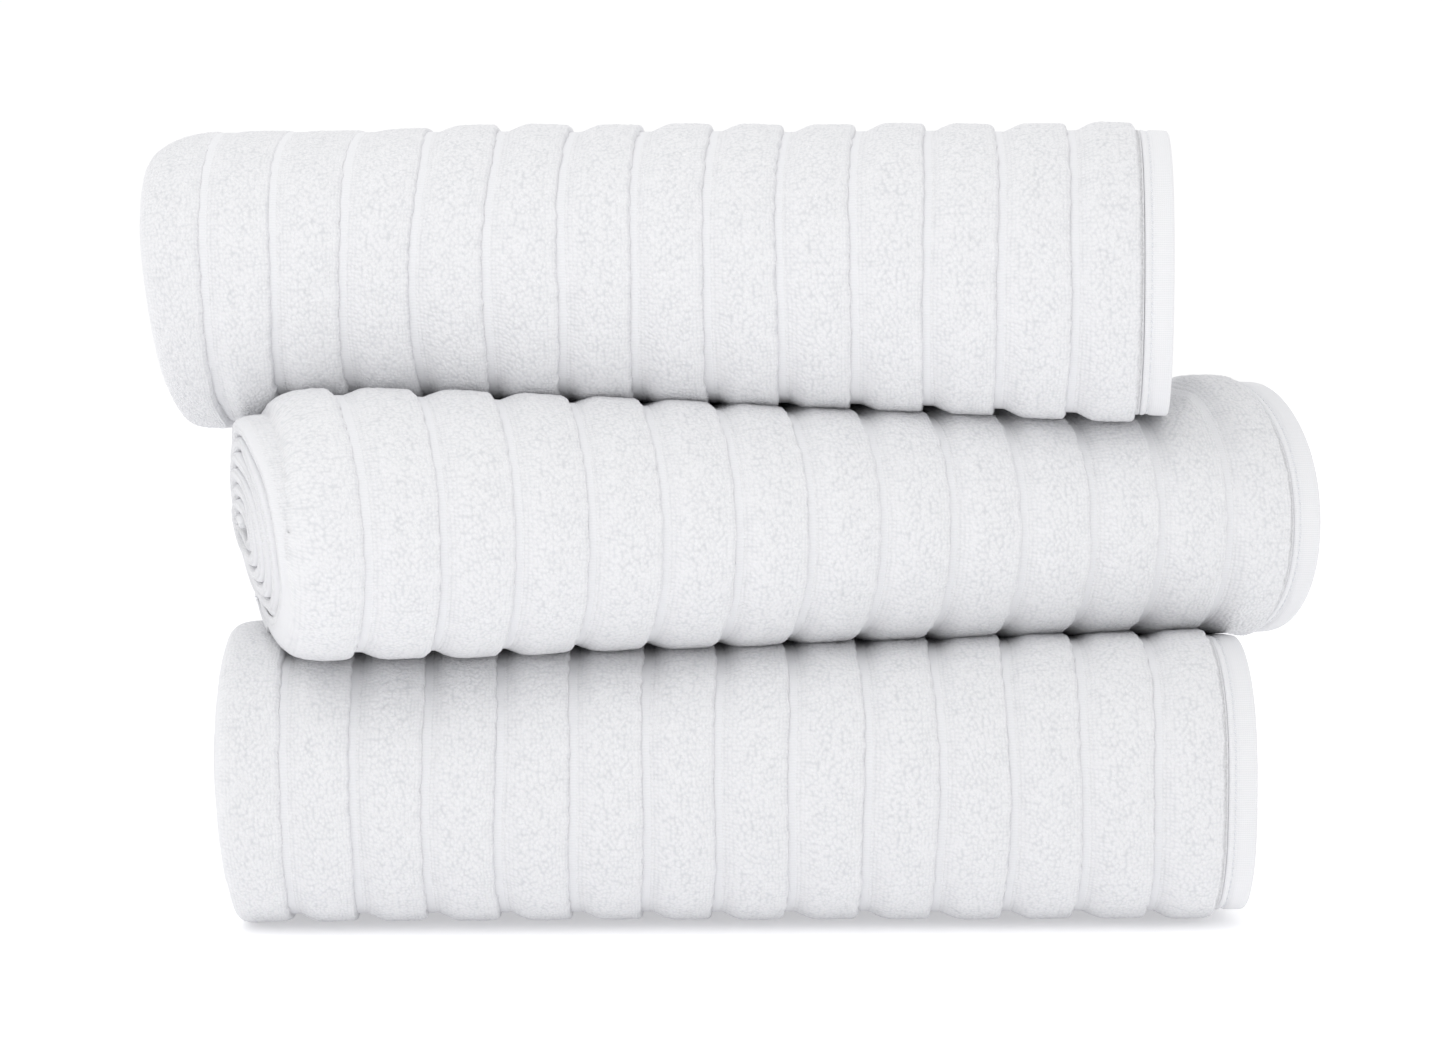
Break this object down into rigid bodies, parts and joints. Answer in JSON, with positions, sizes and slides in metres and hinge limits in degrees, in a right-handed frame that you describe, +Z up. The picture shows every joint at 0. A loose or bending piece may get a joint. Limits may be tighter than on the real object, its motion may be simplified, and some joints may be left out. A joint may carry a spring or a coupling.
{
  "type": "bath towel set",
  "caption": "Stack of ribbed terry bath towels, each folded lengthwise and rolled into an oval roll, with its side hems at one end.",
  "frame": {"origin": "middle of the set's footprint, on the surface that the bottom towel rests on", "axes": "+Z up; +X along the rolls, towards the side hems; -Y the front; the fold of each towel is at its -X end"},
  "size_m": [0.4058, 0.2158, 0.2704],
  "materials": {
    "terry": "white looped cotton pile in ribs",
    "hem": "white flat-woven cotton, turned and sewn",
    "thread": "white cotton sewing thread"
  },
  "bodies": {
    "bottom_towel": {"bottom_towel_terry": "terry", "bottom_towel_loose_end_hem": "hem", "bottom_towel_core_end_hem": "hem", "bottom_towel_outer_side_hem": "hem", "bottom_towel_inner_side_hem": "hem", "bottom_towel_loose_end_seam": "thread", "bottom_towel_core_end_seam": "thread", "bottom_towel_outer_side_seam": "thread", "bottom_towel_inner_side_seam": "thread"},
    "middle_towel": {"middle_towel_terry": "terry", "middle_towel_loose_end_hem": "hem", "middle_towel_core_end_hem": "hem", "middle_towel_outer_side_hem": "hem", "middle_towel_inner_side_hem": "hem", "middle_towel_loose_end_seam": "thread", "middle_towel_core_end_seam": "thread", "middle_towel_outer_side_seam": "thread", "middle_towel_inner_side_seam": "thread"},
    "top_towel": {"top_towel_terry": "terry", "top_towel_loose_end_hem": "hem", "top_towel_core_end_hem": "hem", "top_towel_outer_side_hem": "hem", "top_towel_inner_side_hem": "hem", "top_towel_loose_end_seam": "thread", "top_towel_core_end_seam": "thread", "top_towel_outer_side_seam": "thread", "top_towel_inner_side_seam": "thread"}
  },
  "joints": [
    {"name": "middle_towel_lift", "type": "slide", "parent": "bottom_towel", "child": "middle_towel", "axis": [0, 0, 1], "range_m": [0, 0.3]},
    {"name": "top_towel_lift", "type": "slide", "parent": "middle_towel", "child": "top_towel", "axis": [0, 0, 1], "range_m": [0, 0.3]}
  ]
}
